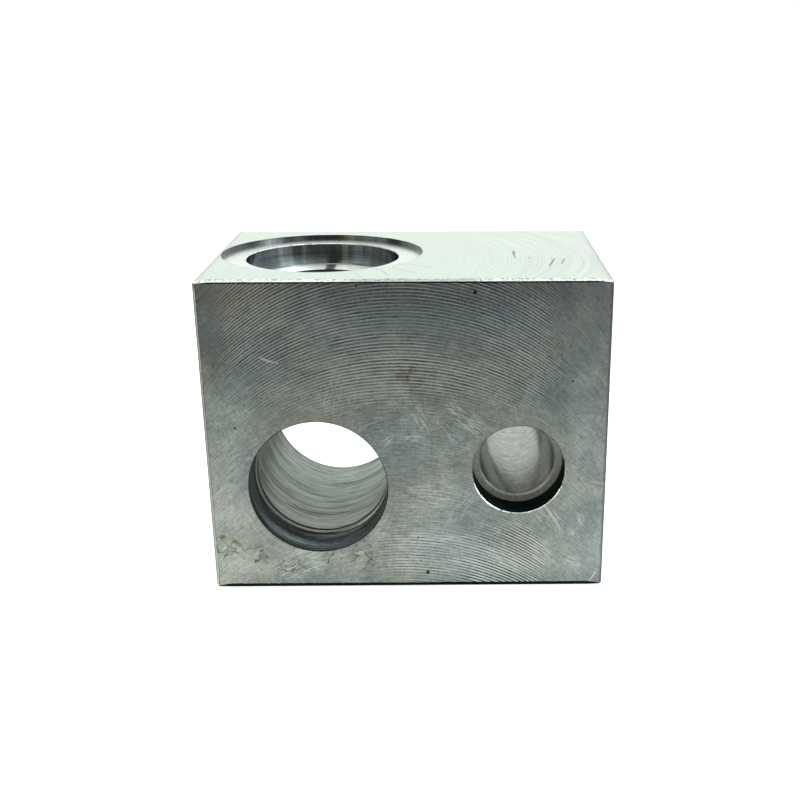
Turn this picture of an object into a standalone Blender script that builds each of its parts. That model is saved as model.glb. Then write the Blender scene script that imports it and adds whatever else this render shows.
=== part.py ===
"""Hydraulic monoblock valve body, with the expander plugs that close its cross-drillings.

Metres, +Z up. X is the width, Y the depth with the front face at -Y, and Z the height.
The origin is the centre of the base.
"""
import math

import bmesh
import bpy
from mathutils import Matrix, Vector

# Block
WIDTH = 0.100
DEPTH = 0.070
HEIGHT = 0.080
EDGE_CHAMFER = 0.0004

# Large bore, front to back. Depths are measured from the front face.
LARGE_X = -0.0225
LARGE_Z = 0.0275
LARGE_MOUTH_R = 0.01745
LARGE_MOUTH_DEPTH = 0.0110
LARGE_LIP_R = 0.01715
LARGE_LIP_DEPTH = 0.0136
LARGE_R = 0.0199
LARGE_BACK_CHAMFER = 0.0025
LARGE_FRONT_CHAMFER = 0.0002

# Small bore, front to back
SMALL_X = 0.0280
SMALL_Z = 0.0320
SMALL_MOUTH_R = 0.01165
SMALL_MOUTH_DEPTH = 0.0078
SMALL_R = 0.0096
SMALL_STEP_CHAMFER = 0.0004
SMALL_FRONT_CHAMFER = 0.0003
SMALL_BACK_CHAMFER = 0.0010

# Cavity in the top face. Depths are measured from the top face.
CAVITY_X = -0.0227
CAVITY_Y = 0.0022
SPOTFACE_R = 0.0265
SPOTFACE_DEPTH = 0.00125
CAVITY_R = 0.0201
CAVITY_DEPTH = 0.00715
PASSAGE_R = 0.0110
CAVITY_CHAMFER = 0.0002

# Cross-drillings from the right face, through the small bore and into the large one
GALLERY_R = 0.0035
GALLERY_Z = SMALL_Z
GALLERY_Y = {"front": 0.0080, "rear": 0.0250}
PLUG_SEAT_R = 0.0050
PLUG_SEAT_DEPTH = 0.0090

# Expander plugs
FIT_GAP = 0.0003
PLUG_LENGTH = 0.0080
PLUG_WALL = 0.0012
PLUG_FLOOR = 0.0010
PLUG_CHAMFER = 0.0003
BALL_R = PLUG_SEAT_R - PLUG_WALL - 2.0 * FIT_GAP

# How far a cutter reaches past the face it cuts
OVERSHOOT = 0.0010

# Segments round each turned shape
LARGE_SEGMENTS = 72
SMALL_SEGMENTS = 48
GALLERY_SEGMENTS = 24
PLUG_SEGMENTS = 32
BALL_SEGMENTS = 24
BALL_RINGS = 12
SMOOTH_ANGLE = math.radians(30.0)

# Directions that a turned shape's own +Z can point in
ALONG_DEPTH = Matrix.Rotation(math.radians(-90.0), 4, "X")
INTO_TOP = Matrix.Rotation(math.radians(180.0), 4, "X")
INTO_RIGHT = Matrix.Rotation(math.radians(-90.0), 4, "Y")


def clear_scene():
    for obj in list(bpy.data.objects):
        bpy.data.objects.remove(obj, do_unlink=True)


def make_material(name, colour, roughness):
    """A bare metal with one colour and one roughness."""
    material = bpy.data.materials.new(name)
    material.use_nodes = True
    shader = material.node_tree.nodes["Principled BSDF"]
    shader.inputs["Base Color"].default_value = (*colour, 1.0)
    shader.inputs["Metallic"].default_value = 1.0
    shader.inputs["Roughness"].default_value = roughness
    material.diffuse_color = (*colour, 1.0)
    return material


def add_object(name, mesh_data, placement=None):
    """Write a bmesh to a named object, and shade its round faces smooth."""
    bmesh.ops.recalc_face_normals(mesh_data, faces=mesh_data.faces)
    mesh = bpy.data.meshes.new(name)
    mesh_data.to_mesh(mesh)
    mesh_data.free()
    mesh.shade_smooth()
    mesh.set_sharp_from_angle(angle=SMOOTH_ANGLE)
    obj = bpy.data.objects.new(name, mesh)
    bpy.context.scene.collection.objects.link(obj)
    if placement is not None:
        obj.matrix_world = placement
    return obj


def turned(name, profile, segments, placement):
    """A closed solid of revolution about its own +Z.

    The profile is a list of (radius, height). It starts and ends on the axis.
    """
    mesh_data = bmesh.new()
    rings = []
    for radius, height in profile:
        if radius == 0.0:
            rings.append([mesh_data.verts.new((0.0, 0.0, height))])
            continue
        ring = []
        for step in range(segments):
            turn = 2.0 * math.pi * step / segments
            ring.append(mesh_data.verts.new((radius * math.cos(turn), radius * math.sin(turn), height)))
        rings.append(ring)
    for lower, upper in zip(rings, rings[1:]):
        for step in range(segments):
            after = (step + 1) % segments
            corners = [lower[step % len(lower)], lower[after % len(lower)]]
            corners += [upper[after % len(upper)], upper[step % len(upper)]]
            mesh_data.faces.new(list(dict.fromkeys(corners)))
    return add_object(name, mesh_data, placement)


def block():
    """The plain block, standing on z = 0, with a small chamfer on every edge."""
    mesh_data = bmesh.new()
    bmesh.ops.create_cube(mesh_data, size=1.0)
    bmesh.ops.scale(mesh_data, vec=Vector((WIDTH, DEPTH, HEIGHT)), verts=mesh_data.verts)
    bmesh.ops.translate(mesh_data, vec=Vector((0.0, 0.0, HEIGHT / 2.0)), verts=mesh_data.verts)
    obj = add_object("valve_body", mesh_data)
    chamfer = obj.modifiers.new("edge_chamfer", "BEVEL")
    chamfer.width = EDGE_CHAMFER
    chamfer.segments = 1
    chamfer.limit_method = "ANGLE"
    return obj


def cut(obj, cutter):
    """Take one solid away from another, and leave the cutter in the scene as a guide."""
    cutter.hide_render = True
    cutter.display_type = "WIRE"
    boolean = obj.modifiers.new(cutter.name, "BOOLEAN")
    boolean.operation = "DIFFERENCE"
    boolean.solver = "EXACT"
    boolean.object = cutter


def even_shading(obj):
    """Let the large flat faces set the shading where a round wall meets them."""
    normals = obj.modifiers.new("even_shading", "WEIGHTED_NORMAL")
    normals.weight = 100
    normals.keep_sharp = True


def large_bore():
    """The mouth, a narrow lip, and the main bore, which opens with a chamfer at the back."""
    profile = [
        (0.0, -OVERSHOOT),
        (LARGE_MOUTH_R + LARGE_FRONT_CHAMFER + OVERSHOOT, -OVERSHOOT),
        (LARGE_MOUTH_R, LARGE_FRONT_CHAMFER),
        (LARGE_MOUTH_R, LARGE_MOUTH_DEPTH),
        (LARGE_LIP_R, LARGE_MOUTH_DEPTH),
        (LARGE_LIP_R, LARGE_LIP_DEPTH),
        (LARGE_R, LARGE_LIP_DEPTH),
        (LARGE_R, DEPTH - LARGE_BACK_CHAMFER),
        (LARGE_R + LARGE_BACK_CHAMFER + OVERSHOOT, DEPTH + OVERSHOOT),
        (0.0, DEPTH + OVERSHOOT),
    ]
    placement = Matrix.Translation((LARGE_X, -DEPTH / 2.0, LARGE_Z)) @ ALONG_DEPTH
    return turned("large_bore", profile, LARGE_SEGMENTS, placement)


def small_bore():
    """The counterbore, its flat shoulder, and the reamed bore that runs through to the back."""
    profile = [
        (0.0, -OVERSHOOT),
        (SMALL_MOUTH_R + SMALL_FRONT_CHAMFER + OVERSHOOT, -OVERSHOOT),
        (SMALL_MOUTH_R, SMALL_FRONT_CHAMFER),
        (SMALL_MOUTH_R, SMALL_MOUTH_DEPTH),
        (SMALL_R + SMALL_STEP_CHAMFER, SMALL_MOUTH_DEPTH),
        (SMALL_R, SMALL_MOUTH_DEPTH + SMALL_STEP_CHAMFER),
        (SMALL_R, DEPTH - SMALL_BACK_CHAMFER),
        (SMALL_R + SMALL_BACK_CHAMFER + OVERSHOOT, DEPTH + OVERSHOOT),
        (0.0, DEPTH + OVERSHOOT),
    ]
    placement = Matrix.Translation((SMALL_X, -DEPTH / 2.0, SMALL_Z)) @ ALONG_DEPTH
    return turned("small_bore", profile, SMALL_SEGMENTS, placement)


def top_cavity():
    """The spotface, the cavity below it, and the passage down into the large bore."""
    passage_end = HEIGHT - LARGE_Z
    profile = [
        (0.0, -OVERSHOOT),
        (SPOTFACE_R, -OVERSHOOT),
        (SPOTFACE_R, SPOTFACE_DEPTH),
        (CAVITY_R + CAVITY_CHAMFER, SPOTFACE_DEPTH),
        (CAVITY_R, SPOTFACE_DEPTH + CAVITY_CHAMFER),
        (CAVITY_R, CAVITY_DEPTH),
        (PASSAGE_R, CAVITY_DEPTH),
        (PASSAGE_R, passage_end),
        (0.0, passage_end),
    ]
    placement = Matrix.Translation((CAVITY_X, CAVITY_Y, HEIGHT)) @ INTO_TOP
    return turned("top_cavity", profile, LARGE_SEGMENTS, placement)


def gallery(side, depth_position):
    """A cross-drilling with the wider seat of its plug at the right face."""
    drilling_end = WIDTH / 2.0 - LARGE_X - LARGE_R / 2.0
    profile = [
        (0.0, -OVERSHOOT),
        (PLUG_SEAT_R, -OVERSHOOT),
        (PLUG_SEAT_R, PLUG_SEAT_DEPTH),
        (GALLERY_R, PLUG_SEAT_DEPTH),
        (GALLERY_R, drilling_end),
        (0.0, drilling_end),
    ]
    placement = Matrix.Translation((WIDTH / 2.0, depth_position, GALLERY_Z)) @ INTO_RIGHT
    return turned(side + "_gallery", profile, GALLERY_SEGMENTS, placement)


def plug_shell(side, depth_position):
    """An expander sleeve: a cup with its closed end inwards."""
    outer = PLUG_SEAT_R - FIT_GAP
    inner = outer - PLUG_WALL
    start = PLUG_SEAT_DEPTH - FIT_GAP - PLUG_LENGTH
    profile = [
        (0.0, start + PLUG_LENGTH),
        (outer - PLUG_CHAMFER, start + PLUG_LENGTH),
        (outer, start + PLUG_LENGTH - PLUG_CHAMFER),
        (outer, start + PLUG_CHAMFER),
        (outer - PLUG_CHAMFER, start),
        (inner + PLUG_CHAMFER, start),
        (inner, start + PLUG_CHAMFER),
        (inner, start + PLUG_LENGTH - PLUG_FLOOR),
        (0.0, start + PLUG_LENGTH - PLUG_FLOOR),
    ]
    placement = Matrix.Translation((WIDTH / 2.0, depth_position, GALLERY_Z)) @ INTO_RIGHT
    return turned(side + "_gallery_plug_shell", profile, PLUG_SEGMENTS, placement)


def plug_ball(side, depth_position):
    """The ball that expands the sleeve, resting just above the sleeve's floor."""
    floor_depth = PLUG_SEAT_DEPTH - FIT_GAP - PLUG_FLOOR
    mesh_data = bmesh.new()
    bmesh.ops.create_uvsphere(mesh_data, u_segments=BALL_SEGMENTS, v_segments=BALL_RINGS, radius=BALL_R)
    centre_x = WIDTH / 2.0 - floor_depth + FIT_GAP + BALL_R
    placement = Matrix.Translation((centre_x, depth_position, GALLERY_Z))
    return add_object(side + "_gallery_plug_ball", mesh_data, placement)


def build():
    clear_scene()
    body_steel = make_material("machined_steel", (0.52, 0.54, 0.53), 0.34)
    shell_steel = make_material("plug_shell_steel", (0.36, 0.36, 0.35), 0.45)
    ball_steel = make_material("plug_ball_steel", (0.66, 0.67, 0.68), 0.16)

    body = block()
    body.data.materials.append(body_steel)
    cut(body, large_bore())
    cut(body, small_bore())
    cut(body, top_cavity())
    for side, depth_position in GALLERY_Y.items():
        cut(body, gallery(side, depth_position))
    even_shading(body)
    for side, depth_position in GALLERY_Y.items():
        shell = plug_shell(side, depth_position)
        shell.data.materials.append(shell_steel)
        ball = plug_ball(side, depth_position)
        ball.data.materials.append(ball_steel)


build()
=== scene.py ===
"""Visual model of a bare hydraulic monoblock valve body.

A face-milled steel block with a spotfaced cavity in its top and two bores from front to back.
Metres, +Z up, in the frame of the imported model: the front face is at -Y.
"""
import math
import random

import bpy
from mathutils import Matrix, Vector, noise


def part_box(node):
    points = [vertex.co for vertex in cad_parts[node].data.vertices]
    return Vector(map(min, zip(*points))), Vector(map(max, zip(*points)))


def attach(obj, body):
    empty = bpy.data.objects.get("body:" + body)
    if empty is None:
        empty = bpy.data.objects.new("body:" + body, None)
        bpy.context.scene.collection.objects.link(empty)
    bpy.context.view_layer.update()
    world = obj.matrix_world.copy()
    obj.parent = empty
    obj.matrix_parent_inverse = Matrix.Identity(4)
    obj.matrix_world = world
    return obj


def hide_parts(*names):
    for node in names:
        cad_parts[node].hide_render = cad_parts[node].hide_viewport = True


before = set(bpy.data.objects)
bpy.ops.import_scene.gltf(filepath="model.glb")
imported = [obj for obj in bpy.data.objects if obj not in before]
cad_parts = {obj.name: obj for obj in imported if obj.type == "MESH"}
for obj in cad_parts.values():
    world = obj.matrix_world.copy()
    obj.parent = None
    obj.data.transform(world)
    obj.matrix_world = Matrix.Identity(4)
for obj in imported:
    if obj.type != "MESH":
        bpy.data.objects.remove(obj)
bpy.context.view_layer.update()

# The block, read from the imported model
LOW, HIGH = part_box("valve_body")
WIDTH, DEPTH, HEIGHT = HIGH - LOW
FRONT_Y = LOW.y

# Large bore: its axis, and radii and depths from the front face
LARGE_X = -0.0225
LARGE_Z = 0.0275
LARGE_MOUTH_R = 0.01745
LARGE_MOUTH_DEPTH = 0.0110
LARGE_LIP_R = 0.01715
LARGE_LIP_DEPTH = 0.0136
LIP_CORNER = 0.00012
LIP_PALE_SHARE = 0.58
LARGE_R = 0.0199
LARGE_BACK_CHAMFER = 0.0025
LARGE_FRONT_CHAMFER = 0.00018
# It was cut in three passes. Each: start and end, how much wider, and its rings' spacing, depth and
# random seed.
LARGE_PASSES = (
    (LARGE_LIP_DEPTH, 0.0224, 0.0, 0.0030, 0.00003, 8),
    (0.0226, 0.0430, 0.00008, 0.0050, 0.00002, 9),
    (0.0434, DEPTH - LARGE_BACK_CHAMFER, 0.0, 0.0013, 0.00006, 10),
)

# Small bore
SMALL_X = 0.0280
SMALL_Z = 0.0320
SMALL_MOUTH_R = 0.01165
SMALL_MOUTH_DEPTH = 0.0078
SMALL_R = 0.0096
SMALL_STEP_CHAMFER = 0.0004
SMALL_FRONT_CHAMFER = 0.00020
SMALL_BACK_CHAMFER = 0.0010

# Cavity in the top face, depths from the top
CAVITY_X = -0.0227
CAVITY_Y = 0.0022
SPOTFACE_R = 0.0265
SPOTFACE_DEPTH = 0.00125
CAVITY_R = 0.0201
CAVITY_DEPTH = 0.00715
CAVITY_CHAMFER = 0.0002
CAVITY_CORNER = 0.0003
LEDGE_R = 0.0129
LEDGE_DEPTH = 0.0003
PASSAGE_R = 0.0110
PASSAGE_DEPTH = HEIGHT - LARGE_Z - 0.004

# Cross-drillings from the right face, and their expander plugs
GALLERY_R = 0.0035
GALLERY_Z = SMALL_Z
GALLERY_RUN_ON = 0.0045
PLUG_SEAT_R = 0.0050
PLUG_SEAT_DEPTH = 0.0090
PLUG_SEAT_CHAMFER = 0.0003
GALLERY_Y = {"front": 0.0080, "rear": 0.0250}
PLUG_R = 0.0047
PLUG_START = 0.0007
PLUG_LENGTH = 0.0080
PLUG_WALL = 0.0012
PLUG_FLOOR = 0.0010
PLUG_CHAMFER = 0.0003
PLUG_GROOVE_PITCH = 0.0006
PLUG_GROOVE_DEPTH = 0.00015
BALL_R = 0.0032
BALL_GAP = 0.0003

# Face mill: radius of its arcs, where its axis crosses each face, and its feed per turn
MILL_R = 0.0634
MILL_X = -0.0018
TOP_MILL_Y = -0.006
HIDDEN_MILL_AXIS = -0.004
MILL_FEED = 0.00083

# Marks of use. Pale wipes on the front face: middle x and z, half length, half width, slope in
# degrees, strength.
SMEARS = (
    (0.0150, 0.0455, 0.0090, 0.0045, -40.0, 0.9),
    (0.0262, 0.0480, 0.0045, 0.0012, -62.0, 0.7),
    (0.0175, 0.0435, 0.0050, 0.0018, -36.0, 0.8),
    (0.0010, 0.0405, 0.0035, 0.0014, 10.0, 1.0),
    (-0.0050, 0.0400, 0.0030, 0.0016, 40.0, 0.9),
    (0.0060, 0.0250, 0.0100, 0.0060, -6.0, 0.6),
    (0.0130, 0.0215, 0.0070, 0.0035, 50.0, 0.6),
    (0.0365, 0.0190, 0.0060, 0.0022, -50.0, 1.4),
    (0.0335, 0.0195, 0.0050, 0.0012, -50.0, 1.0),
    (0.0325, 0.0100, 0.0065, 0.0035, -42.0, 1.3),
    (0.0440, 0.0185, 0.0028, 0.0018, -70.0, 0.7),
    (0.0420, 0.0070, 0.0035, 0.0026, -30.0, 0.7),
    (0.0240, 0.0075, 0.0080, 0.0040, -36.0, 0.9),
    (0.0060, 0.0135, 0.0130, 0.0020, 0.0, 0.7),
    (-0.0280, 0.0050, 0.0110, 0.0030, 20.0, 0.7),
    (-0.0180, 0.0530, 0.0080, 0.0040, 70.0, 0.5),
    (0.0080, 0.0560, 0.0060, 0.0030, -60.0, 0.5),
    (0.0030, 0.0470, 0.0080, 0.0022, -62.0, 0.8),
    (-0.0010, 0.0520, 0.0050, 0.0016, -62.0, 0.6),
    (0.0110, 0.0420, 0.0070, 0.0030, -48.0, 0.8),
    (-0.0290, 0.0080, 0.0100, 0.0040, 24.0, 0.7),
    (-0.0080, 0.0450, 0.0050, 0.0022, 15.0, 0.6),
)
# Coolant puddles on the front face: middle x and z, half width, half height
STAINS = ((-0.0118, 0.0090, 0.0040, 0.0060), (-0.0465, 0.0115, 0.0040, 0.0045),
          (-0.0395, 0.0095, 0.0045, 0.0035), (-0.0200, 0.0080, 0.0030, 0.0020),
          (-0.0300, 0.0060, 0.0050, 0.0025))
# Dents in the front face: x, z, radius
DENTS = ((0.0048, 0.0038, 0.00058), (0.0408, 0.0552, 0.00030), (0.0169, 0.0772, 0.00052),
         (0.0138, 0.0757, 0.00020), (-0.0424, 0.0436, 0.00032), (0.0024, 0.0138, 0.00026),
         (0.0030, 0.0072, 0.00024), (-0.0325, 0.0685, 0.00022), (-0.0112, 0.0788, 0.00030))
# Scratches: start, end and width, in x and y on the top and in x and z on the front face
TOP_SCRATCHES = (
    ((0.0280, 0.0029), (0.0278, -0.0020), 0.00046),
    ((0.0278, -0.0020), (0.0279, -0.0068), 0.00026),
    ((0.0380, -0.0080), (0.0360, -0.0170), 0.00038),
    ((0.0405, -0.0080), (0.0393, -0.0145), 0.00030),
    ((0.0314, -0.0062), (0.0316, -0.0074), 0.00026),
)
TOP_SCUFFS = (
    ((-0.0033, -0.0145), (0.0020, -0.0155), 0.0004),
    ((0.0020, -0.0155), (0.0060, -0.0184), 0.0005),
    ((-0.0033, -0.0184), (-0.0005, -0.0225), 0.0004),
    ((-0.0005, -0.0225), (0.0027, -0.0254), 0.0005),
    ((-0.0073, -0.0200), (-0.0052, -0.0240), 0.0004),
    ((-0.0052, -0.0240), (-0.0040, -0.0283), 0.0004),
    ((-0.0120, -0.0262), (-0.0105, -0.0300), 0.0003),
)
SCRATCHES = (
    ((-0.0347, 0.0613), (-0.0328, 0.0605), 0.00042),
    ((-0.0328, 0.0605), (-0.0310, 0.0602), 0.00026),
    ((0.0462, 0.0288), (0.0495, 0.0281), 0.00016),
    ((0.0470, 0.0012), (0.0484, 0.0034), 0.00022),
)

# Surface zones, in the order of the body's material slots
ZONES = ("front", "top", "back", "base", "side", "edge", "upright_edge", "lower_edge",
         "large_mouth", "large_lip", "large_wall", "small_mouth", "small_step", "small_wall",
         "spotface_wall", "seat", "cavity_floor", "cavity_inner", "cavity_wall", "drilled")

# What the polished faces mirror on the front side: a dark room with a few upright lights.
# Each light: from and to, in degrees from the front towards the right, then its colour and strength.
ROOM_RADIUS = 1.0
ROOM_HEIGHT = 2.2
ROOM_GLOW = 0.06
ROOM_LIGHTS = (
    (78.0, 93.0, (0.75, 0.90, 1.0), 2.0),
    (71.0, 78.0, (1.0, 0.93, 0.92), 8.0),
    (60.0, 71.0, (0.80, 0.93, 1.0), 3.6),
    (54.0, 60.0, (1.0, 0.98, 0.90), 2.2),
    (31.0, 37.0, (1.0, 0.86, 0.72), 2.5),
    (-35.0, -28.0, (1.0, 0.78, 0.52), 3.6),
    (-63.0, -44.0, (0.90, 0.95, 1.0), 1.3),
    (-75.0, -71.0, (1.0, 0.95, 0.9), 5.0),
)
ROOM_END = 105.0
SKY_COLOUR = (0.95, 1.0, 0.97, 1.0)
SKY_STRENGTH = 1.25
FLOOR_REACH = 6.0
FLOOR_Z = -0.0002
FLOOR_GLOW = 0.45

# The camera, fitted to the photo: place, turn in degrees, lens and sensor in millimetres, and shift
CAMERA_PLACE = (0.01074, -0.31462, 0.13876)
CAMERA_TURN = (68.4389, 0.0704, -0.7908)
CAMERA_LENS = 53.019
CAMERA_SENSOR = 36.0
CAMERA_SHIFT_X = -0.0803
CAMERA_SHIFT_Y = 0.0987

OVERSHOOT = 0.0010
SHARP_ANGLE = math.radians(28.0)
EDGE_CORNER = 0.00045
EDGE_STEP = 0.0004
LARGE_SEGMENTS = 192
SMALL_SEGMENTS = 144
GALLERY_SEGMENTS = 48
PLUG_SEGMENTS = 96
BALL_STEPS = 48

ALONG_DEPTH = Matrix.Rotation(math.radians(-90.0), 4, "X")
INTO_TOP = Matrix.Rotation(math.radians(180.0), 4, "X")
INTO_RIGHT = Matrix.Rotation(math.radians(-90.0), 4, "Y")


# ---------------------------------------------------------------- geometry

def make_object(name, points, faces, zones, placement=None):
    """A mesh object whose faces carry the material index of their zone."""
    mesh = bpy.data.meshes.new(name)
    mesh.from_pydata(points, [], faces)
    mesh.polygons.foreach_set("material_index", [ZONES.index(zone) for zone in zones])
    if placement is not None:
        mesh.transform(placement)
    mesh.validate()
    mesh.update()
    obj = bpy.data.objects.new(name, mesh)
    bpy.context.scene.collection.objects.link(obj)
    return obj


def turned(name, profile, segments, placement):
    """A closed solid of revolution about its own +Z.

    The profile is a list of (radius, height, zone), from axis to axis. The zone is that of the
    surface which leads up to the point.
    """
    points, faces, zones, rings = [], [], [], []
    for radius, height, _ in profile:
        first = len(points)
        if radius == 0.0:
            points.append((0.0, 0.0, height))
            rings.append([first])
            continue
        for step in range(segments):
            turn = 2.0 * math.pi * step / segments
            points.append((radius * math.cos(turn), radius * math.sin(turn), height))
        rings.append(list(range(first, first + segments)))
    for (lower, upper), (_, _, zone) in zip(zip(rings, rings[1:]), profile[1:]):
        for step in range(segments):
            after = (step + 1) % segments
            corners = [lower[step % len(lower)], lower[after % len(lower)]]
            corners += [upper[after % len(upper)], upper[step % len(upper)]]
            faces.append(list(dict.fromkeys(corners)))
            zones.append(zone)
    return make_object(name, points, faces, zones, placement)


def bored(radius, start, stop, zone, spacing, groove, seed):
    """Points of a bored wall: rings at uneven distances, some of them cut a little deeper."""
    draw = random.Random(seed)
    points = [(radius, start, zone)]
    height = start
    while True:
        height += spacing * draw.uniform(0.5, 1.6)
        width = spacing * draw.uniform(0.10, 0.22)
        if height + 2.0 * width >= stop:
            break
        deep = groove * draw.random() ** 2.5
        points.append((radius, height, zone))
        points.append((radius + deep, height + width * 0.5, zone))
        points.append((radius, height + width, zone))
    points.append((radius, stop, zone))
    return points


def edge_point(axis, side_b, side_c, along, width, on_b):
    """A point of a broken edge that runs along one axis, on one of the two faces it parts."""
    axis_b, axis_c = (axis + 1) % 3, (axis + 2) % 3
    half = [WIDTH / 2.0, DEPTH / 2.0, HEIGHT / 2.0]
    point = [0.0, 0.0, 0.0]
    point[axis] = along
    point[axis_b] = side_b * (half[axis_b] - (0.0 if on_b else width))
    point[axis_c] = side_c * (half[axis_c] - (width if on_b else 0.0))
    return point[0], point[1], point[2] + HEIGHT / 2.0


def edge_break(axis, side_b, side_c):
    """How far an edge is broken on each of its two faces, how unevenly, and its zone.

    The front top edge was filed down by hand over a wide strip, and the bottom ones have an even break.
    """
    if axis == 0 and side_c > 0 and side_b < 0:
        return 0.00012, 0.0026, 0.30, "edge"
    if axis == 0 and side_c > 0:
        return 0.00032, 0.00085, 0.50, "edge"
    if axis == 0:
        return 0.00095, 0.00020, 0.10, "lower_edge"
    if axis == 1 and side_b < 0:
        return 0.00020, 0.00095, 0.10, "lower_edge"
    if axis == 2 and side_b < 0:
        return 0.00034, 0.00062, 0.12, "upright_edge"
    if axis == 2:
        return 0.00034, 0.00034, 0.18, "upright_edge"
    return 0.00040, 0.00040, 0.25, "edge"


def broken_block():
    """The block with its edges broken, each edge by its own uneven width."""
    half = [WIDTH / 2.0, DEPTH / 2.0, HEIGHT / 2.0]
    points, faces, zones, index = [], [], [], {}

    def add(point):
        key = tuple(round(value, 8) for value in point)
        if key not in index:
            index[key] = len(points)
            points.append(point)
        return index[key]

    runs = {}
    for axis in range(3):
        reach = half[axis] - EDGE_CORNER
        stations = int(2.0 * reach / EDGE_STEP)
        for side_b in (-1, 1):
            for side_c in (-1, 1):
                mean_b, mean_c, wander, zone = edge_break(axis, side_b, side_c)
                seed = Vector((11.3 * axis, 5.7 * side_b, 3.1 * side_c))
                on_b, on_c = [], []
                for station in range(stations + 1):
                    share = station / stations
                    ends = min(1.0, 30.0 * share, 30.0 * (1.0 - share))
                    slow = noise.noise(seed + Vector((share * 9.0, 0.0, 0.0)))
                    fast_b = noise.noise(seed + Vector((station * 0.61, 4.0, 0.0)))
                    fast_c = noise.noise(seed + Vector((station * 0.61, 9.0, 0.0)))
                    width_b = mean_b * (1.0 + wander * (0.7 * slow + fast_b))
                    width_c = mean_c * (1.0 + wander * (0.7 * slow + fast_c))
                    width_b = EDGE_CORNER + (width_b - EDGE_CORNER) * ends
                    width_c = EDGE_CORNER + (width_c - EDGE_CORNER) * ends
                    along = -reach + 2.0 * reach * share
                    on_b.append(add(edge_point(axis, side_b, side_c, along, width_b, True)))
                    on_c.append(add(edge_point(axis, side_b, side_c, along, width_c, False)))
                runs[axis, side_b, side_c] = on_b, on_c
                flip = side_b * side_c > 0
                for step in range(stations):
                    strip = [on_b[step], on_b[step + 1], on_c[step + 1], on_c[step]]
                    faces.append(strip if flip else strip[::-1])
                    zones.append(zone)

    face_zones = {(1, -1): "front", (1, 1): "back", (2, 1): "top", (2, -1): "base"}
    for axis in range(3):
        axis_b, axis_c = (axis + 1) % 3, (axis + 2) % 3
        for side in (-1, 1):
            # The four edges round this face: two run along axis_b and two along axis_c.
            # On an edge along axis_b, this face is the second one after it, so its points are on_c.
            low_c = runs[axis_b, -1, side][1]
            high_c = runs[axis_b, 1, side][1]
            low_b = runs[axis_c, side, -1][0]
            high_b = runs[axis_c, side, 1][0]
            loop = low_c[:-1] + high_b[:-1] + high_c[:0:-1] + low_b[:0:-1]
            faces.append(loop if side > 0 else loop[::-1])
            zones.append(face_zones.get((axis, side), "side"))

    end = {-1: 0, 1: -1}
    for side_a in (-1, 1):
        for side_b in (-1, 1):
            for side_c in (-1, 1):
                corner = [runs[1, side_c, side_a][1][end[side_b]],
                          runs[2, side_a, side_b][1][end[side_c]],
                          runs[0, side_b, side_c][1][end[side_a]]]
                faces.append(corner if side_a * side_b * side_c > 0 else corner[::-1])
                zones.append("edge")
    return make_object("body", points, faces, zones)


def large_bore():
    """Mouth, sharp lip, then the wide bore to a big chamfer at the back."""
    outside = LARGE_MOUTH_R + LARGE_FRONT_CHAMFER + OVERSHOOT
    profile = [(0.0, -OVERSHOOT, "edge"), (outside, -OVERSHOOT, "edge")]
    profile += bored(LARGE_MOUTH_R, LARGE_FRONT_CHAMFER, LARGE_MOUTH_DEPTH, "large_mouth",
                     0.0009, 0.00001, 3)
    profile[2] = (LARGE_MOUTH_R, LARGE_FRONT_CHAMFER, "lower_edge")
    pale_end = LARGE_MOUTH_DEPTH + LIP_PALE_SHARE * (LARGE_LIP_DEPTH - LARGE_MOUTH_DEPTH)
    profile.append((LARGE_LIP_R, LARGE_MOUTH_DEPTH + LIP_CORNER, "large_wall"))
    profile.append((LARGE_LIP_R, pale_end, "large_wall"))
    profile.append((LARGE_LIP_R, LARGE_LIP_DEPTH, "large_lip"))
    for start, stop, wider, spacing, groove, seed in LARGE_PASSES:
        profile += bored(LARGE_R + wider, start, stop, "large_wall", spacing, groove, seed)
    profile.append((LARGE_R + LARGE_BACK_CHAMFER + OVERSHOOT, DEPTH + OVERSHOOT, "large_wall"))
    profile.append((0.0, DEPTH + OVERSHOOT, "edge"))
    placement = Matrix.Translation((LARGE_X, FRONT_Y, LARGE_Z)) @ ALONG_DEPTH
    return turned("large_bore", profile, LARGE_SEGMENTS, placement)


def small_bore():
    """Counterbore with a flat shoulder, then a reamed bore to the back."""
    shoulder = SMALL_R + SMALL_STEP_CHAMFER
    outside = SMALL_MOUTH_R + SMALL_FRONT_CHAMFER + OVERSHOOT
    profile = [(0.0, -OVERSHOOT, "edge"), (outside, -OVERSHOOT, "edge")]
    profile += bored(SMALL_MOUTH_R, SMALL_FRONT_CHAMFER, SMALL_MOUTH_DEPTH, "small_mouth",
                     0.0008, 0.00001, 5)
    profile[2] = (SMALL_MOUTH_R, SMALL_FRONT_CHAMFER, "edge")
    profile.append((shoulder, SMALL_MOUTH_DEPTH, "small_step"))
    profile.append((SMALL_R, SMALL_MOUTH_DEPTH + SMALL_STEP_CHAMFER, "small_step"))
    profile.append((SMALL_R, DEPTH - SMALL_BACK_CHAMFER, "small_wall"))
    profile.append((SMALL_R + SMALL_BACK_CHAMFER + OVERSHOOT, DEPTH + OVERSHOOT, "edge"))
    profile.append((0.0, DEPTH + OVERSHOOT, "edge"))
    placement = Matrix.Translation((SMALL_X, FRONT_Y, SMALL_Z)) @ ALONG_DEPTH
    return turned("small_bore", profile, SMALL_SEGMENTS, placement)


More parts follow.
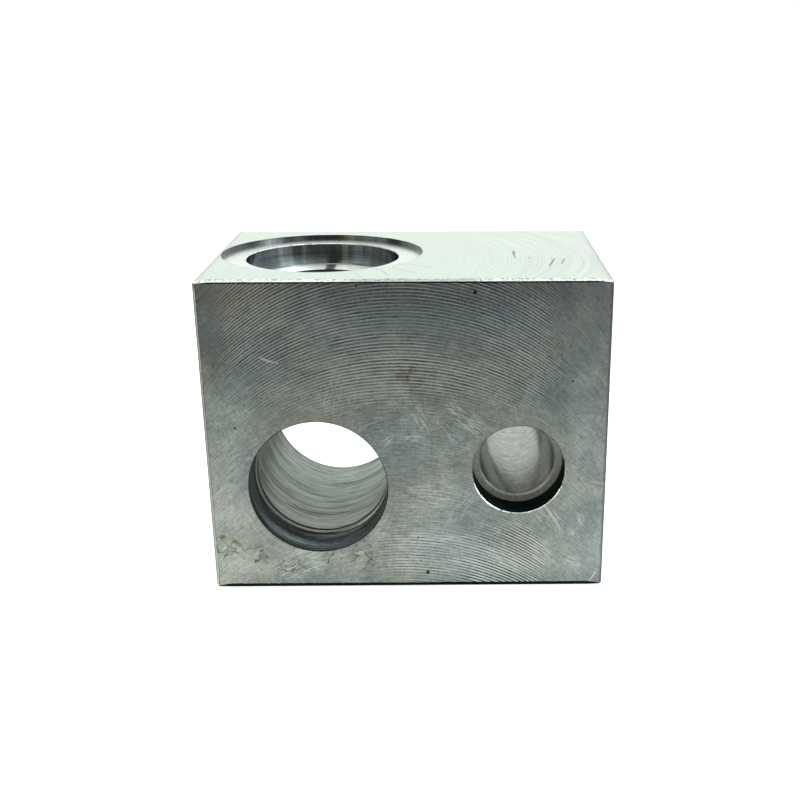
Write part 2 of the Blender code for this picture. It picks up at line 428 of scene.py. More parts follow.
def top_cavity():
    """Shallow spotface, cavity, and the passage down into the large bore."""
    outside = CAVITY_R + CAVITY_CHAMFER
    profile = [
        (0.0, -OVERSHOOT, "spotface_wall"),
        (SPOTFACE_R, -OVERSHOOT, "spotface_wall"),
        (SPOTFACE_R, SPOTFACE_DEPTH, "spotface_wall"),
        (outside, SPOTFACE_DEPTH, "seat"),
        (CAVITY_R, SPOTFACE_DEPTH + CAVITY_CHAMFER, "edge"),
        (CAVITY_R, CAVITY_DEPTH - CAVITY_CORNER, "cavity_wall"),
        (CAVITY_R - CAVITY_CORNER, CAVITY_DEPTH, "cavity_wall"),
        (LEDGE_R, CAVITY_DEPTH, "cavity_floor"),
        (LEDGE_R, CAVITY_DEPTH + LEDGE_DEPTH, "cavity_inner"),
        (PASSAGE_R, CAVITY_DEPTH + LEDGE_DEPTH, "cavity_inner"),
        (PASSAGE_R, PASSAGE_DEPTH, "drilled"),
        (0.0, PASSAGE_DEPTH, "drilled"),
    ]
    placement = Matrix.Translation((CAVITY_X, CAVITY_Y, HEIGHT)) @ INTO_TOP
    return turned("top_cavity", profile, LARGE_SEGMENTS, placement)


def gallery(y):
    """A cross-drilling from the right face into both bores, with its plug seat."""
    reach = WIDTH / 2.0 - LARGE_X - LARGE_R + GALLERY_RUN_ON
    profile = [
        (0.0, -OVERSHOOT, "edge"),
        (PLUG_SEAT_R + PLUG_SEAT_CHAMFER + OVERSHOOT, -OVERSHOOT, "edge"),
        (PLUG_SEAT_R, PLUG_SEAT_CHAMFER, "edge"),
        (PLUG_SEAT_R, PLUG_SEAT_DEPTH, "drilled"),
        (GALLERY_R, PLUG_SEAT_DEPTH, "drilled"),
        (GALLERY_R, reach, "drilled"),
        (0.0, reach + GALLERY_R * 0.5, "drilled"),
    ]
    placement = Matrix.Translation((WIDTH / 2.0, y, GALLERY_Z)) @ INTO_RIGHT
    return turned("gallery", profile, GALLERY_SEGMENTS, placement)


def cut(body, cutter):
    """Takes the cutter out of the body and removes it."""
    boolean = body.modifiers.new("cut", "BOOLEAN")
    boolean.operation = "DIFFERENCE"
    boolean.solver = "EXACT"
    boolean.material_mode = "INDEX"
    boolean.object = cutter
    bpy.context.view_layer.update()
    evaluated = body.evaluated_get(bpy.context.evaluated_depsgraph_get())
    mesh = bpy.data.meshes.new_from_object(evaluated)
    body.modifiers.clear()
    body.data = mesh
    bpy.data.objects.remove(cutter)


def smooth(piece):
    """Shades a piece smooth, but for its sharp edges."""
    piece.data.shade_smooth()
    piece.data.set_sharp_from_angle(angle=SHARP_ANGLE)


# ---------------------------------------------------------------- materials

class Value:
    """A number that varies over a surface. Arithmetic with it adds nodes to its graph."""

    def __init__(self, graph, socket):
        self.graph = graph
        self.socket = socket

    def __add__(self, other):
        return self.graph.math("ADD", self, other)

    def __sub__(self, other):
        return self.graph.math("SUBTRACT", self, other)

    def __rsub__(self, other):
        return self.graph.math("SUBTRACT", other, self)

    def __mul__(self, other):
        return self.graph.math("MULTIPLY", self, other)

    def __abs__(self):
        return self.graph.math("ABSOLUTE", self)

    __radd__ = __add__
    __rmul__ = __mul__

    def remap(self, start, end, low=0.0, high=1.0):
        """Goes smoothly from low, where the value is start, to high, where it is end."""
        node = self.graph.nodes.new("ShaderNodeMapRange")
        node.interpolation_type = "SMOOTHSTEP"
        self.graph.feed(node.inputs["Value"], self)
        node.inputs["From Min"].default_value = start
        node.inputs["From Max"].default_value = end
        node.inputs["To Min"].default_value = low
        node.inputs["To Max"].default_value = high
        return Value(self.graph, node.outputs["Result"])

    def window(self, low_out, low_in, high_in, high_out):
        """1 between the two inner values, and 0 beyond the two outer ones."""
        return self.remap(low_out, low_in) * self.remap(high_out, high_in)


class Graph:
    """A material's node tree. Each call adds nodes, and returns a Value, a vector or a colour."""

    def __init__(self, name, roughness=0.3, metallic=1.0, anisotropic=0.0, grazing=1.0):
        self.material = bpy.data.materials.new(name)
        self.material.use_nodes = True
        self.nodes = self.material.node_tree.nodes
        self.links = self.material.node_tree.links
        self.shader = self.nodes["Principled BSDF"]
        self.shader.inputs["Metallic"].default_value = metallic
        self.shader.inputs["Roughness"].default_value = roughness
        self.shader.inputs["Anisotropic"].default_value = anisotropic
        self.shader.inputs["Specular Tint"].default_value = (grazing, grazing, grazing, 1.0)
        self.place = self.nodes.new("ShaderNodeTexCoord").outputs["Object"]
        parts = self.nodes.new("ShaderNodeSeparateXYZ")
        self.links.new(self.place, parts.inputs[0])
        self.x, self.y, self.z = (Value(self, socket) for socket in parts.outputs)

    def feed(self, socket, value):
        """Links a socket, or sets a plain number or colour."""
        if isinstance(value, Value):
            value = value.socket
        if isinstance(value, bpy.types.NodeSocket):
            self.links.new(value, socket)
        elif socket.type == "RGBA":
            socket.default_value = (*value, 1.0)
        else:
            socket.default_value = value

    def math(self, operation, *values):
        node = self.nodes.new("ShaderNodeMath")
        node.operation = operation
        for socket, value in zip(node.inputs, values):
            self.feed(socket, value)
        return Value(self, node.outputs[0])

    def largest(self, *values):
        """The largest of several values."""
        result = values[0]
        for value in values[1:]:
            result = self.math("MAXIMUM", result, value)
        return result

    def point(self, x, y, z):
        node = self.nodes.new("ShaderNodeCombineXYZ")
        for socket, value in zip(node.inputs, (x, y, z)):
            self.feed(socket, value)
        return node.outputs[0]

    def noise(self, scale, place=None, detail=3.0, roughness=0.5, distortion=0.0):
        """Noise from 0 to 1 round 0.5; the scale is in cycles per metre."""
        node = self.nodes.new("ShaderNodeTexNoise")
        self.feed(node.inputs["Vector"], self.place if place is None else place)
        node.inputs["Scale"].default_value = scale
        node.inputs["Detail"].default_value = detail
        node.inputs["Roughness"].default_value = roughness
        node.inputs["Distortion"].default_value = distortion
        return Value(self, node.outputs["Fac"])

    def stretched(self, x, y, z, detail=3.0, roughness=0.5):
        """Noise whose three coordinates are already in cycles."""
        return self.noise(1.0, self.point(x, y, z), detail, roughness)

    def mix(self, share, first, second):
        """A colour between two colours."""
        node = self.nodes.new("ShaderNodeMix")
        node.data_type = "RGBA"
        node.clamp_factor = True
        self.feed(node.inputs["Factor"], share)
        self.feed(node.inputs["A"], first)
        self.feed(node.inputs["B"], second)
        return node.outputs["Result"]

    def scaled(self, colour, share):
        """A colour made brighter or darker."""
        node = self.nodes.new("ShaderNodeVectorMath")
        node.operation = "SCALE"
        self.feed(node.inputs[0], colour)
        self.feed(node.inputs["Scale"], share)
        return node.outputs[0]

    def bump(self, height, distance):
        """The normal of a surface raised by height times distance, in metres."""
        node = self.nodes.new("ShaderNodeBump")
        self.feed(node.inputs["Height"], height)
        node.inputs["Distance"].default_value = distance
        return node.outputs["Normal"]

    def hypot(self, a, b):
        """How far a step of a and a step of b, at right angles, lead together."""
        return self.math("SQRT", a * a + b * b)

    def distance(self, a, b, from_a, from_b):
        """Distance in a plane from one of its points."""
        return self.hypot(a - from_a, b - from_b)

    def line(self, a, b, start, end, width):
        """1 on a short line in a plane, 0 away from it."""
        run_a, run_b = end[0] - start[0], end[1] - start[1]
        length = math.hypot(run_a, run_b)
        along_a, along_b = run_a / length, run_b / length
        off_a, off_b = a - start[0], b - start[1]
        along = off_a * along_a + off_b * along_b
        past = along - self.math("MINIMUM", self.largest(along, 0.0), length)
        across = off_a * along_b - off_b * along_a
        return self.hypot(past, across).remap(width * 0.5, width, 1.0, 0.0)

    def finish(self, colour, roughness=None, normal=None, tangent=None):
        self.feed(self.shader.inputs["Base Color"], colour)
        if roughness is not None:
            self.feed(self.shader.inputs["Roughness"], roughness)
        if normal is not None:
            self.links.new(normal, self.shader.inputs["Normal"])
        if tangent is not None:
            self.links.new(tangent, self.shader.inputs["Tangent"])
        return self.material


def mill_feed(graph, along, across, axis):
    """How far the face mill had moved when it cut here: the same all along one of its arcs.

    It moves in the direction of along, with its own axis where across has the given value.
    """
    off = across - axis
    return along - graph.math("SQRT", graph.largest(MILL_R ** 2 - off * off, 0.0))


def arc_contrast(graph):
    """How clearly the arcs show in the upper part, and at the foot in the middle and right."""
    upper = graph.z.remap(0.045, 0.058, 0.08, 1.0) * graph.x.window(-0.0485, -0.040, 0.032, 0.042)
    corner = graph.z.remap(0.020, 0.012) * graph.x.window(0.006, 0.020, 0.030, 0.037)
    middle = graph.z.remap(0.018, 0.013) * graph.x.window(-0.014, 0.000, 0.008, 0.014) * 0.45
    patch = graph.noise(75.0, detail=2.0).remap(0.30, 0.55, 0.45, 1.0)
    return patch * upper, patch * graph.largest(corner, middle)


def smears(graph):
    """Pale wipe marks: each is a patch of fine parallel streaks."""
    found = []
    for x, z, half_length, half_width, degrees, strength in SMEARS:
        turn = math.radians(degrees)
        off_x, off_z = graph.x - x, graph.z - z
        along = off_x * math.cos(turn) + off_z * math.sin(turn)
        across = off_z * math.cos(turn) - off_x * math.sin(turn)
        out = graph.hypot(along * (1.0 / half_length), across * (1.0 / half_width))
        streak = graph.stretched(along * 260.0, across * 2300.0, x * 900.0, roughness=0.6)
        found.append(out.remap(1.0, 0.3) * streak.remap(0.49, 0.57) * strength)
    return graph.largest(*found)


def coolant_stains(graph):
    """Dried coolant: the thin brown outlines of small puddles, and a faint tint inside."""
    field = graph.noise(250.0, roughness=0.45, distortion=0.8)
    outline = abs(field - 0.52).remap(0.006, 0.028, 1.0, 0.0)
    inside = field.remap(0.52, 0.56, 0.0, 0.22)
    near = []
    for x, z, half_width, half_height in STAINS:
        out = graph.hypot((graph.x - x) * (1.0 / half_width), (graph.z - z) * (1.0 / half_height))
        near.append(out.remap(1.0, 0.6))
    return graph.largest(outline * 0.95, inside) * graph.largest(*near)


def mouth_scuffs(graph):
    """Pale rings worn round the lower half of the large bore's mouth."""
    radius = graph.distance(graph.x, graph.z, LARGE_X, LARGE_Z)
    near = radius.window(LARGE_MOUTH_R, LARGE_MOUTH_R + 0.0008,
                         LARGE_MOUTH_R + 0.0020, LARGE_MOUTH_R + 0.0045)
    rings = graph.stretched(radius * 1700.0, graph.x * 60.0, graph.z * 60.0, detail=2.0)
    return near * graph.z.remap(LARGE_Z, LARGE_Z - 0.012) * rings.remap(0.45, 0.62)


def milled_front():
    """Face-milled, then handled: arcs, clouds of tint, wipe marks, coolant stains, dents, and painted
    light and shade.
    """
    graph = Graph("milled_front")
    x, z = graph.x, graph.z
    wander = (graph.noise(120.0, detail=2.0) - 0.5) * 0.00022
    feed = mill_feed(graph, z, x, MILL_X) + wander
    phase = feed * (2.0 * math.pi / MILL_FEED)
    each = graph.stretched(feed * 900.0, x * 25.0, 0.0, detail=1.0)
    wave = graph.math("SINE", phase) * each.remap(0.25, 0.7, 0.45, 1.25)
    wave = wave + graph.math("SINE", phase * 2.0 + each * 9.0) * 0.42
    upper, lower = arc_contrast(graph)
    # The arcs raise the bump, and are also painted into the colour as sheen, light and dark swapped in
    # the lower share.
    ridges_and_sheen = wave * upper - wave * (lower * 1.5)
    fine = graph.stretched(feed * 3800.0, x * 220.0, 3.0, roughness=0.6)

    cloud = graph.noise(70.0, detail=9.0, roughness=0.72, distortion=0.5)
    tint = graph.noise(45.0, graph.point(x + 0.3, 0.0, z), detail=5.0, roughness=0.6)
    light_patch = cloud.remap(0.33, 0.67)
    cool = graph.mix(light_patch, (0.41, 0.47, 0.47), (0.64, 0.70, 0.68))
    warm = graph.mix(light_patch, (0.46, 0.49, 0.455), (0.67, 0.70, 0.64))
    colour = graph.mix(tint.remap(0.38, 0.62), cool, warm)
    brown = graph.distance(x, z, 0.0, 0.0572).remap(0.0045, 0.001)
    brown = brown * graph.noise(500.0).remap(0.40, 0.60) * 0.55
    colour = graph.mix(graph.largest(brown, coolant_stains(graph)), colour, (0.17, 0.155, 0.075))
    # Painted reflection: a bluish tint over the top of the face.
    blue_reflection = z.remap(0.056, 0.070) * tint.remap(0.60, 0.40, 0.35, 1.0)
    colour = graph.mix(blue_reflection * 0.8, colour, (0.475, 0.545, 0.575))

    grain = graph.noise(1500.0, roughness=0.8)
    pale = graph.noise(330.0, detail=5.0, roughness=0.7).remap(0.56, 0.68)
    pale = pale * z.remap(0.060, 0.040, 0.15, 1.0)
    wiped = smears(graph) * ridges_and_sheen.remap(-0.25, 0.25, 0.45, 1.30)
    # Painted highlight: glints on the arcs' crests in the lower share.
    crest_glints = wave.remap(-0.35, -1.1) * lower * graph.noise(420.0).remap(0.46, 0.62)
    light = 1.0 + ridges_and_sheen * 0.62 + (fine - 0.5) * 1.5 + (grain - 0.5) * 1.3 + pale * 0.22
    light = light + wiped * 0.85 + mouth_scuffs(graph) * 0.22 + crest_glints * 0.9
    # Painted light and shade: paler towards the left and right margins, but darker at the upper left.
    right = x.remap(-0.005, 0.005)
    margin_light = abs(x + 0.001).remap(0.034, 0.046, 0.0, 0.34)
    margin_light = margin_light * (z.remap(0.046, 0.066, 1.1, -0.5) * (1.0 - right) + right * 0.5)
    # Painted shade: darker along the foot and the head of the face.
    foot_and_head_shade = z.remap(0.0015, 0.0065, 0.72, 1.0) * z.remap(0.068, 0.078, 1.0, 0.78)
    colour = graph.scaled(colour, graph.largest(light, 0.1) * (1.0 + margin_light) * foot_and_head_shade)

    nicks = [graph.distance(x, z, dent_x, dent_z).remap(radius * 0.6, radius, 1.0, 0.0)
             for dent_x, dent_z, radius in DENTS]
    # Painted shade: thin dark lines along the top, left and right edges of the face; the dents are
    # real.
    top_line = z.remap(HEIGHT - 0.00062, HEIGHT - 0.00040, 0.0, 0.95)
    left_line = x.remap(-0.04905, -0.0493, 0.0, 0.45)
    right_line = x.remap(0.0492, 0.0494, 0.0, 0.30)
    dark = graph.largest(*nicks, top_line, left_line, right_line)
    colour = graph.mix(dark, colour, (0.03, 0.035, 0.035))
    scratches = [graph.line(x, z, *mark) for mark in SCRATCHES]
    colour = graph.mix(graph.largest(*scratches), colour, (0.95, 0.96, 0.92))

    roughness = 0.34 + (cloud - 0.5) * 0.30
    return graph.finish(colour, roughness, graph.bump(ridges_and_sheen + fine * 0.35, 0.000010))


def milled_top():
    """Fine faint arcs, a few short scratches, a burr round the spotface, and painted shade along the
    borders.
    """
    graph = Graph("milled_top")
    x, y = graph.x, graph.y
    cloud = graph.noise(40.0, detail=4.0, roughness=0.6)
    colour = graph.mix(cloud.remap(0.35, 0.65), (0.54, 0.60, 0.545), (0.60, 0.66, 0.60))
    feed = mill_feed(graph, x, y, TOP_MILL_Y)
    fine = graph.stretched(feed * 2300.0, y * 26.0, 0.0, roughness=0.6)
    grain = graph.noise(900.0, roughness=0.7)
    clear = x.remap(0.006, 0.034, 0.12, 1.25)
    light = 1.0 + (fine - 0.5) * clear * 0.75 + (grain - 0.5) * 0.34
    from_side = WIDTH / 2.0 - abs(x)
    from_end = DEPTH / 2.0 - abs(y)
    # Painted shade: darker along the borders of the top, most along its sides.
    border_shade = graph.math("MINIMUM", from_side, from_end).remap(0.0006, 0.0022, 0.86, 1.0)
    border_shade = border_shade * from_side.remap(0.0005, 0.0009, 0.55, 1.0)
    colour = graph.scaled(colour, light * border_shade)

    from_rim = abs(graph.distance(x, y, CAVITY_X, CAVITY_Y) - (SPOTFACE_R + 0.0002))
    burr = from_rim.remap(0.0001, 0.0004, 0.55, 0.0)
    burr = burr * graph.noise(260.0, detail=2.0).remap(0.40, 0.60)
    scuffs = graph.largest(*(graph.line(x, y, *mark) for mark in TOP_SCUFFS))
    colour = graph.mix(graph.largest(scuffs * 0.42, burr), colour, (0.24, 0.25, 0.23))
    scratches = graph.largest(*(graph.line(x, y, *mark) for mark in TOP_SCRATCHES))
    colour = graph.mix(scratches * 0.9, colour, (0.08, 0.075, 0.065))
    return graph.finish(colour, cloud.remap(0.3, 0.7, 0.24, 0.32), graph.bump(fine, 0.000004))


def milled_face(name, across_axis, feed_axis, seed):
    """A hidden face, milled like the front: faint arcs, clouds of tint, grain and a few scuffs."""
    graph = Graph(name)
    across, along = getattr(graph, across_axis), getattr(graph, feed_axis)
    wander = (graph.noise(120.0, detail=2.0) - 0.5) * 0.00024
    feed = mill_feed(graph, along, across, HIDDEN_MILL_AXIS) + wander
    each = graph.stretched(feed * 900.0, across * 25.0, seed, detail=1.0)
    patch = graph.noise(60.0, graph.point(graph.x, graph.y + seed, graph.z), detail=2.0)
    wave = graph.math("SINE", feed * (2.0 * math.pi / MILL_FEED))
    wave = wave * each.remap(0.25, 0.7, 0.4, 1.2) * patch.remap(0.35, 0.62, 0.15, 1.0)
    fine = graph.stretched(feed * 3800.0, across * 220.0, seed, roughness=0.6)

    place = graph.point(graph.x + seed, graph.y, graph.z)
    cloud = graph.noise(70.0, place, detail=8.0, roughness=0.7, distortion=0.5)
    tint = graph.noise(45.0, place, detail=5.0, roughness=0.6)
    light_patch = cloud.remap(0.33, 0.67)
    cool = graph.mix(light_patch, (0.44, 0.50, 0.49), (0.60, 0.66, 0.63))
    warm = graph.mix(light_patch, (0.48, 0.50, 0.45), (0.64, 0.66, 0.60))
    colour = graph.mix(tint.remap(0.38, 0.62), cool, warm)
    grain = graph.noise(1500.0, place, roughness=0.8)
    pale = graph.noise(330.0, place, detail=5.0, roughness=0.7).remap(0.58, 0.70)
    light = 1.0 + wave * 0.40 + (fine - 0.5) * 1.1 + (grain - 0.5) * 1.0 + pale * 0.25
    colour = graph.scaled(colour, graph.largest(light, 0.1))
    rub = graph.stretched((across + along) * 700.0, (across - along) * 35.0, seed, detail=4.0)
    colour = graph.mix(rub.remap(0.62, 0.68) * 0.5, colour, (0.85, 0.87, 0.83))
    roughness = 0.34 + (cloud - 0.5) * 0.30
    return graph.finish(colour, roughness, graph.bump(wave + fine * 0.35, 0.000008))


def broken_edge():
    """Filed bright, with dark nicks, duller along the middle of the front top edge, and painted shade
    at the front left.
    """
    graph = Graph("broken_edge")
    x, y = graph.x, graph.y
    spark = graph.noise(1500.0, roughness=0.7)
    colour = graph.mix(spark.remap(0.35, 0.60), (0.70, 0.72, 0.68), (0.98, 0.99, 0.97))
    dull = x.window(-0.018, -0.010, 0.014, 0.022)
    colour = graph.mix(dull * 0.80, colour, (0.36, 0.40, 0.37))
    strokes = graph.stretched(x * 1600.0, y * 160.0, 0.0, roughness=0.6)
    colour = graph.mix(strokes.remap(0.60, 0.68, 0.0, 0.75), colour, (0.14, 0.15, 0.14))
    upper = y.window(FRONT_Y + 0.0014, FRONT_Y + 0.0021, FRONT_Y * 0.5, 0.0)
    dashes = graph.stretched(x * 700.0, 7.0, 0.0).remap(0.46, 0.56, 0.0, 0.8)
    colour = graph.mix(upper * dashes, colour, (0.12, 0.13, 0.12))
    nicks = graph.noise(900.0, detail=2.0, roughness=0.6).remap(0.36, 0.42, 1.0, 0.0)
    # Painted shade: dark along the left end, near the front.
    outline = x.remap(-0.0496, -0.0498) * y.remap(-0.022, -0.031)
    colour = graph.mix(graph.largest(nicks * 0.85, outline * 0.9), colour, (0.05, 0.055, 0.05))
    return graph.finish(colour, spark.remap(0.3, 0.7, 0.45, 0.2))


def upright_edge():
    """The breaks down the corners: grey, with painted shade as a dark outer line and as dark all over
    at the right.
    """
    graph = Graph("upright_edge", roughness=0.4)
    spots = graph.noise(700.0, roughness=0.6)
    colour = graph.mix(spots.remap(0.3, 0.7), (0.80, 0.82, 0.73), (1.0, 1.0, 0.90))
    # Painted shade: a dark line along the outer side, and dark all over on the right-hand corners.
    outline = abs(graph.x).remap(0.04974, 0.04986)
    dark = graph.largest(outline * 0.75, graph.x.remap(0.0, 0.01, 0.0, 0.80))
    return graph.finish(graph.mix(dark, colour, (0.020, 0.018, 0.015)))


def lower_edge():
    """The breaks round the base and the large mouth's rim, painted near black as shade."""
    graph = Graph("lower_edge", roughness=0.6, grazing=0.2)
    # Painted shade: near black, mottled a little by noise.
    shade_mottle = graph.noise(900.0).remap(0.3, 0.7)
    return graph.finish(graph.mix(shade_mottle, (0.008, 0.012, 0.016), (0.02, 0.025, 0.025)))


def bored_wall(name, colour, roughness, anisotropic, bands=0.3, lines=0.5, grazing=1.0):
    """A wall bored along the depth: uneven rings, which smear reflections along the depth."""
    graph = Graph(name, roughness=roughness, anisotropic=anisotropic, grazing=grazing)
    x, y, z = graph.x, graph.y, graph.z
    cool = tuple(value * share for value, share in zip(colour, (0.955, 1.01, 1.005)))

    def rings(pitch, drift, detail, rough=0.6):
        return graph.stretched(x * drift, y * (1.0 / pitch), z * drift, detail, rough)

    band = rings(0.0022, 30.0, 2.0)
    fine = rings(0.00028, 110.0, 4.0, 0.7)
    grain = graph.stretched(x * 700.0, y * 1800.0, z * 700.0, roughness=0.7)
    groove = abs(rings(0.0014, 22.0, 1.0) - 0.5).remap(0.030, 0.006) * fine.remap(0.38, 0.5)
    crest = abs(rings(0.0017, 26.0, 1.0) - 0.47).remap(0.020, 0.004) * fine.remap(0.46, 0.56)
    light = 1.0 + (band - 0.5) * (2.0 * bands) + (fine - 0.5) * (2.0 * bands)
    light = light + (grain - 0.5) * (1.2 * bands) + crest * (0.9 * lines) - groove * lines
    deeper = y.remap(FRONT_Y + 0.022, FRONT_Y + 0.040)
    colour = graph.scaled(graph.mix(deeper, colour, cool), graph.largest(light, 0.06))
    normal = graph.bump(fine + band * 2.0, 0.000012)
    return graph.finish(colour, None, normal, graph.point(0.0, 1.0, 0.0))


def reamed_wall():
    """Fine reamed bore, with one black speck on its floor."""
    graph = Graph("small_wall", roughness=0.20, anisotropic=0.5, grazing=0.65)
    rings = graph.stretched(graph.x * 60.0, graph.y * 1500.0, graph.z * 60.0, roughness=0.6)
    blotch = graph.noise(520.0, detail=4.0, roughness=0.65).remap(0.3, 0.7, 0.80, 1.20)
    from_speck = graph.distance(graph.x, graph.y, SMALL_X + 0.0012, FRONT_Y + 0.0145)
    light = blotch * rings.remap(0.3, 0.7, 0.88, 1.10) * from_speck.remap(0.0002, 0.0005, 0.05, 1.0)
    return graph.finish(graph.scaled((0.41, 0.425, 0.395), light), None,
                        graph.bump(rings, 0.000003), graph.point(0.0, 1.0, 0.0))


def turned_wall(name, colour, roughness, anisotropic):
    """A wall turned about the cavity's upright axis: its fine rings smear reflections upwards."""
    graph = Graph(name, roughness=roughness, anisotropic=anisotropic)
    rings = graph.stretched(graph.x * 20.0, graph.y * 20.0, graph.z * 2000.0, roughness=0.6)
    turn = graph.math("ARCTAN2", graph.x - CAVITY_X, graph.y - CAVITY_Y)
    waver = graph.stretched(0.0, 0.0, graph.z * 900.0)
    degrees = graph.math("DEGREES", turn) + (waver - 0.5) * 2.2
    threads = graph.stretched(degrees * 0.9, 0.0, graph.z * 60.0, roughness=0.6)
    light = rings.remap(0.3, 0.7, 0.72, 1.15) * threads.remap(0.3, 0.7, 0.75, 1.2)
    return graph.finish(graph.scaled(colour, light), None, graph.bump(rings, 0.000003),
                        graph.point(0.0, 0.0, 1.0))


def turned_floor(name, colour, roughness, anisotropic, reflection_streak=False):
    """A flat faced round the cavity's axis: its rings smear reflections along the radius. It can carry
    a painted dark reflection streak.
    """
    graph = Graph(name, roughness=roughness, anisotropic=anisotropic)
    out_x, out_y = graph.x - CAVITY_X, graph.y - CAVITY_Y
    rings = graph.stretched(graph.hypot(out_x, out_y) * 3000.0, 0.0, 0.0, detail=2.0)
    light = rings.remap(0.3, 0.7, 0.93, 1.05)
    if reflection_streak:
        # Painted reflection: a dark streak from the axis towards the back.
        off = abs(graph.x - (CAVITY_X + 0.0004))
        stain_and_reflection = off.remap(0.0019, 0.0008) * graph.y.remap(0.0, CAVITY_Y)
        light = light * (1.0 - stain_and_reflection * 0.84)
    return graph.finish(graph.scaled(colour, light), None, graph.bump(rings, 0.000002),
                        graph.point(out_x, out_y, 0.0))


def shoulder_face():
    """The small bore's narrow step, dulled by oil."""
    graph = Graph("small_step", roughness=0.45, metallic=0.8)
    light = graph.noise(1200.0, roughness=0.6).remap(0.3, 0.7, 0.80, 1.1)
    return graph.finish(graph.scaled((0.60, 0.59, 0.53), light))


def drilled_wall():
    graph = Graph("drilled_wall", roughness=0.45)
    spark = graph.noise(900.0).remap(0.3, 0.7)
    return graph.finish(graph.mix(spark, (0.20, 0.22, 0.21), (0.32, 0.34, 0.32)))


def body_materials():
    # Painted shade: the dark base colours of the large mouth, the large lip, the small mouth, the
    # spotface wall, the cavity wall and the cavity's inner ring. Painted light: the near-white cavity
    # floor.
    return {
        "front": milled_front(),
        "top": milled_top(),
        "back": milled_face("milled_back", "x", "z", 4.0),
        "base": milled_face("milled_base", "y", "x", 9.0),
        "side": milled_face("milled_side", "y", "z", 2.0),
        "edge": broken_edge(),
        "upright_edge": upright_edge(),
        "lower_edge": lower_edge(),
        "large_mouth": bored_wall("large_mouth", (0.115, 0.145, 0.150), 0.38, 0.5, bands=2.4,
                                  grazing=0.65),
        "large_lip": bored_wall("large_lip", (0.040, 0.034, 0.030), 0.45, 0.5, bands=0.6,
                                grazing=0.5),
        "large_wall": bored_wall("large_wall", (0.30, 0.315, 0.29), 0.42, 0.6, bands=0.9, lines=0.8),
        "small_mouth": bored_wall("small_mouth", (0.014, 0.034, 0.036), 0.5, 0.5, bands=0.5,
                                  grazing=0.5),
        "small_step": shoulder_face(),
        "small_wall": reamed_wall(),
        "spotface_wall": turned_wall("spotface_wall", (0.13, 0.135, 0.14), 0.35, 0.8),
        "seat": turned_floor("seat", (0.66, 0.70, 0.66), 0.25, 0.5),
        "cavity_floor": turned_floor("cavity_floor", (0.97, 0.98, 0.96), 0.5, 0.9, reflection_streak=True),
        "cavity_inner": turned_floor("cavity_inner", (0.07, 0.085, 0.085), 0.35, 0.6),
        "cavity_wall": turned_wall("cavity_wall", (0.25, 0.29, 0.30), 0.17, 1.0),
        "drilled": drilled_wall(),
    }


def plug_shell_material():
    """Turned steel, dull, with fine rings across the plug's own axis."""
    graph = Graph("plug_shell_steel", roughness=0.38, anisotropic=0.4)
    rings = graph.stretched(graph.x * 3500.0, graph.y * 60.0, graph.z * 60.0, roughness=0.6)
    stain_and_reflection = graph.noise(600.0, detail=4.0, roughness=0.6).remap(0.35, 0.65)
    colour = graph.mix(stain_and_reflection, (0.34, 0.34, 0.32), (0.50, 0.51, 0.49))
    colour = graph.scaled(colour, rings.remap(0.3, 0.7, 0.8, 1.1))
    return graph.finish(colour, None, graph.bump(rings, 0.000003), graph.point(1.0, 0.0, 0.0))


def plug_ball_material():
    """A ground bearing ball with a few oily prints."""
    graph = Graph("plug_ball_steel")
    prints = graph.noise(500.0, detail=4.0, roughness=0.6)
    colour = graph.mix(prints.remap(0.35, 0.65), (0.60, 0.61, 0.61), (0.72, 0.73, 0.73))
    return graph.finish(colour, prints.remap(0.35, 0.65, 0.20, 0.10))


# ---------------------------------------------------------------- the body

def build_body():
    body = broken_block()
    for cutter in (large_bore(), small_bore(), top_cavity(), *map(gallery, GALLERY_Y.values())):
        cut(body, cutter)
    body.name = "body"
    body.data.name = "body"
    smooth(body)
    materials = body_materials()
    for zone in ZONES:
        body.data.materials.append(materials[zone])
    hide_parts("valve_body")
    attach(body, "root")


def plug_shell(y):
    """An expander sleeve: a cup with grooves round its outside that bite into the seat."""
    inner = PLUG_R - PLUG_WALL
    start, end = PLUG_START, PLUG_START + PLUG_LENGTH
    bottom = end - PLUG_FLOOR
    chamfer, slight = PLUG_CHAMFER, PLUG_CHAMFER * 0.3
    profile = [(0.0, end), (PLUG_R - chamfer, end), (PLUG_R, end - chamfer)]
    height = end - 2.5 * chamfer
    while height > start + 4.0 * chamfer:
        profile += [(PLUG_R, height),
                    (PLUG_R - PLUG_GROOVE_DEPTH, height - PLUG_GROOVE_PITCH * 0.4),
                    (PLUG_R, height - PLUG_GROOVE_PITCH * 0.5)]
        height -= PLUG_GROOVE_PITCH
    profile += [(PLUG_R, start + chamfer), (PLUG_R - slight, start + slight),
                (PLUG_R - chamfer, start), (inner + chamfer, start),
                (inner + slight, start + slight), (inner, start + chamfer),
                (inner, bottom - chamfer), (inner - chamfer, bottom), (0.0, bottom)]
    placement = Matrix.Translation((WIDTH / 2.0, y, GALLERY_Z)) @ INTO_RIGHT
    return turned("plug_shell", [(r, h, ZONES[0]) for r, h in profile], PLUG_SEGMENTS, placement)


def plug_ball(y):
    """The ball that is pressed into the sleeve."""
    profile = []
    for step in range(BALL_STEPS + 1):
        turn = math.pi * step / BALL_STEPS
        radius = 0.0 if step in (0, BALL_STEPS) else BALL_R * math.sin(turn)
        profile.append((radius, -BALL_R * math.cos(turn), ZONES[0]))
    centre = PLUG_START + PLUG_LENGTH - PLUG_FLOOR - BALL_GAP - BALL_R
    placement = Matrix.Translation((WIDTH / 2.0 - centre, y, GALLERY_Z)) @ INTO_RIGHT
    return turned("plug_ball", profile, PLUG_SEGMENTS, placement)


